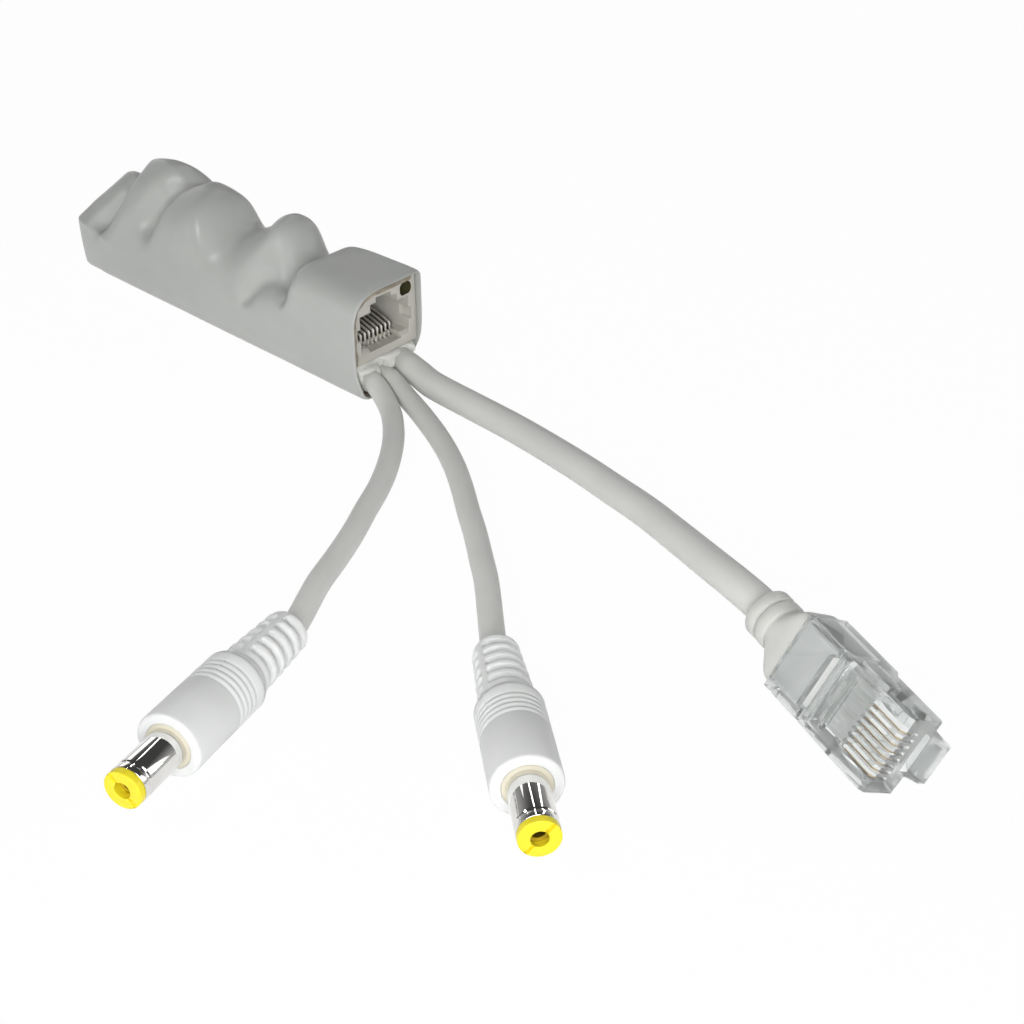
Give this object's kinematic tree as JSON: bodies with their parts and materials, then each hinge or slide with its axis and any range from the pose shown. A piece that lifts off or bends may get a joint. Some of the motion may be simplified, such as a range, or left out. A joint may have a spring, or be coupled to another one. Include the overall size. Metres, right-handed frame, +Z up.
{
  "type": "in-line power over ethernet module",
  "caption": "Slim in-line power module in a shrunk white sleeve, with a modular jack in its end and short leads to a clear modular plug and round power plugs.",
  "frame": {"origin": "centre of the underside of the sleeved module, where it lies on the floor", "axes": "+X along the module towards the jack's mouth, +Y to its left seen from behind, +Z up"},
  "size_m": [0.2121, 0.1075, 0.0257],
  "materials": {
    "sleeve_film": "satin",
    "jack_plastic": "satin",
    "black_plastic": "matte",
    "contact_metal": "bright",
    "board_laminate": "satin",
    "ferrite": "matte",
    "winding_tape": "gloss",
    "capacitor_can": "gloss",
    "white_plastic": "satin",
    "hot_melt": "satin",
    "lead_jacket": "satin",
    "clear_plastic": "clear gloss",
    "gold_contact": "gold plated",
    "guide_plastic": "satin",
    "boot_plastic": "satin",
    "grip_plastic": "satin",
    "collar_plastic": "satin",
    "nickel": "nickel plated",
    "yellow_plastic": "gloss"
  },
  "bodies": {
    "root": {"heat_shrink_sleeve": "sleeve_film", "jack_housing": "jack_plastic", "jack_contact_carrier": "black_plastic", "jack_contact_1": "contact_metal", "jack_contact_2": "contact_metal", "jack_contact_3": "contact_metal", "jack_contact_4": "contact_metal", "jack_contact_5": "contact_metal", "jack_contact_6": "contact_metal", "jack_contact_7": "contact_metal", "jack_contact_8": "contact_metal", "circuit_board": "board_laminate", "transformer_core": "ferrite", "choke_core": "ferrite", "drum_inductor": "ferrite", "transformer_bobbin": "black_plastic", "controller_chip": "black_plastic", "bridge_rectifier": "black_plastic", "transformer_winding": "winding_tape", "bulk_capacitor": "capacitor_can", "output_capacitor": "capacitor_can", "filter_capacitor": "capacitor_can", "opto_coupler": "white_plastic", "glue_seal": "hot_melt", "network_lead": "lead_jacket", "power_lead_one": "lead_jacket", "power_lead_two": "lead_jacket", "plug_shell": "clear_plastic", "plug_blade_1": "gold_contact", "plug_blade_2": "gold_contact", "plug_blade_3": "gold_contact", "plug_blade_4": "gold_contact", "plug_blade_5": "gold_contact", "plug_blade_6": "gold_contact", "plug_blade_7": "gold_contact", "plug_blade_8": "gold_contact", "plug_wire_guide": "guide_plastic", "plug_boot": "boot_plastic", "dc1_grip": "grip_plastic", "dc1_collar": "collar_plastic", "dc1_barrel": "nickel", "dc1_contact": "nickel", "dc1_tip": "yellow_plastic", "dc2_grip": "grip_plastic", "dc2_collar": "collar_plastic", "dc2_barrel": "nickel", "dc2_contact": "nickel", "dc2_tip": "yellow_plastic"}
  },
  "joints": []
}
